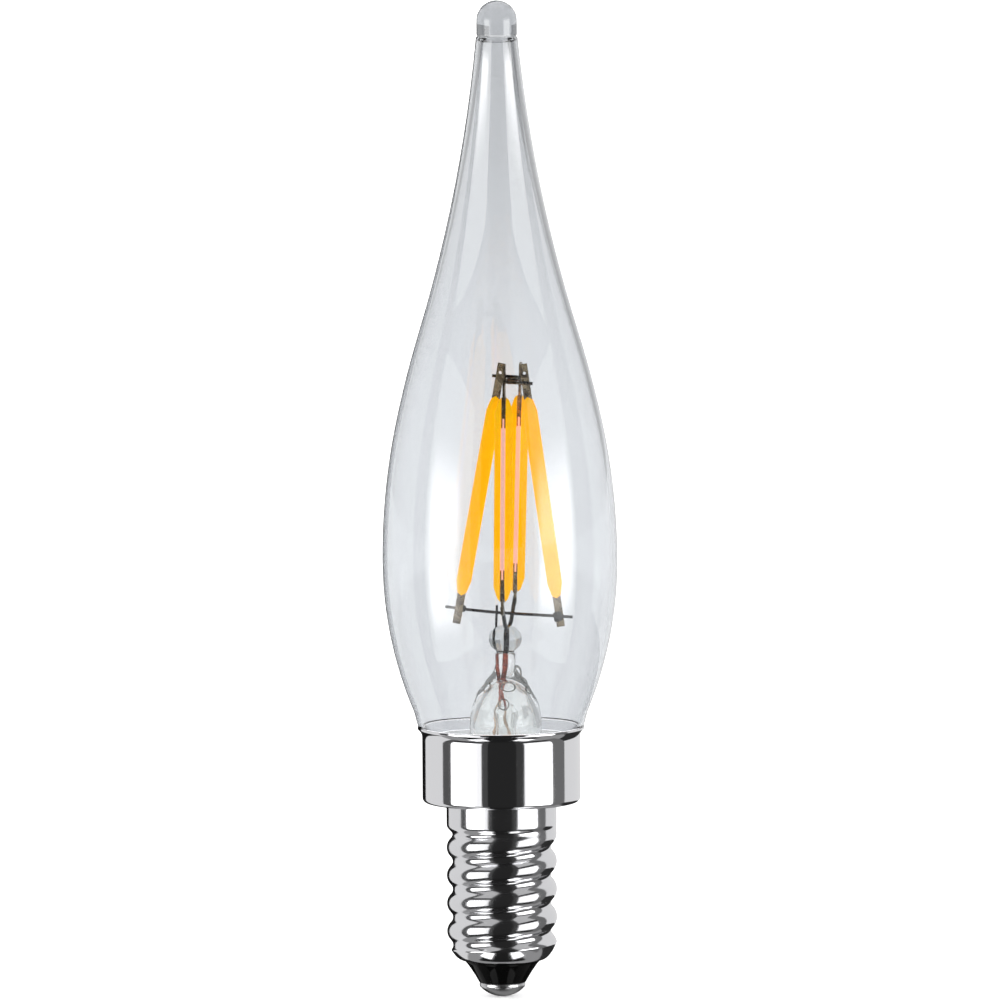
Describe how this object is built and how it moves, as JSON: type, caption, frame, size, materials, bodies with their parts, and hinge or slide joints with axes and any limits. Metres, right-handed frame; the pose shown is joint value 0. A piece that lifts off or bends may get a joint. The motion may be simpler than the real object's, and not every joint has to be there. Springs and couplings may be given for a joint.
{
  "type": "candle lamp bulb",
  "caption": "Clear candle bulb with a long drawn-out tip, upright light filaments, a metal collar and a small screw cap.",
  "frame": {"origin": "lowest point of the centre contact, on the lamp's axis", "axes": "+Z from the contact up to the glass tip, -Y towards the front of the filament cage, +X to the right"},
  "size_m": [0.0296, 0.0296, 0.126],
  "materials": {
    "clear_glass": "clear, polished",
    "bright_nickel": "mirror plated",
    "black_glass": "opaque, glossy",
    "phosphor": "translucent silicone with yellow phosphor",
    "glass_strip": "ground strip",
    "light_chip": "small blue chips",
    "tab_metal": "tarnished nickel plate",
    "wire_metal": "dark drawn wire",
    "sealing_wire": "red copper-clad wire",
    "tinned_copper": "tinned",
    "cement": "baked cement",
    "white_plastic": "moulded",
    "board": "green board",
    "black_plastic": "moulded package",
    "capacitor_can": "sleeved can",
    "resistor_body": "lacquered"
  },
  "bodies": {
    "root": {"back_filament_chips": "light_chip", "back_filament_lower_tab": "tab_metal", "back_filament_phosphor": "phosphor", "back_filament_strip": "glass_strip", "back_filament_upper_tab": "tab_metal", "base_collar": "bright_nickel", "bridge_rectifier": "black_plastic", "cement_ring": "cement", "centre_contact": "bright_nickel", "contact_wire": "tinned_copper", "deep_crossbar": "wire_metal", "driver_board": "board", "driver_chip": "black_plastic", "exhaust_tube": "clear_glass", "front_filament_chips": "light_chip", "front_filament_lower_tab": "tab_metal", "front_filament_phosphor": "phosphor", "front_filament_strip": "glass_strip", "front_filament_upper_tab": "tab_metal", "fuse_resistor": "resistor_body", "glass_envelope": "clear_glass", "glass_insulator": "black_glass", "glass_stem": "clear_glass", "insulating_sleeve": "white_plastic", "lead_a_inner": "wire_metal", "lead_a_outer": "tinned_copper", "lead_a_seal": "sealing_wire", "lead_b_inner": "wire_metal", "lead_b_outer": "tinned_copper", "lead_b_seal": "sealing_wire", "left_filament_chips": "light_chip", "left_filament_lower_tab": "tab_metal", "left_filament_phosphor": "phosphor", "left_filament_strip": "glass_strip", "left_filament_upper_tab": "tab_metal", "right_filament_chips": "light_chip", "right_filament_lower_tab": "tab_metal", "right_filament_phosphor": "phosphor", "right_filament_strip": "glass_strip", "right_filament_upper_tab": "tab_metal", "screw_shell": "bright_nickel", "shell_wire": "tinned_copper", "smoothing_capacitor": "capacitor_can", "top_bridge_wire": "wire_metal", "wide_crossbar": "wire_metal"}
  },
  "joints": []
}
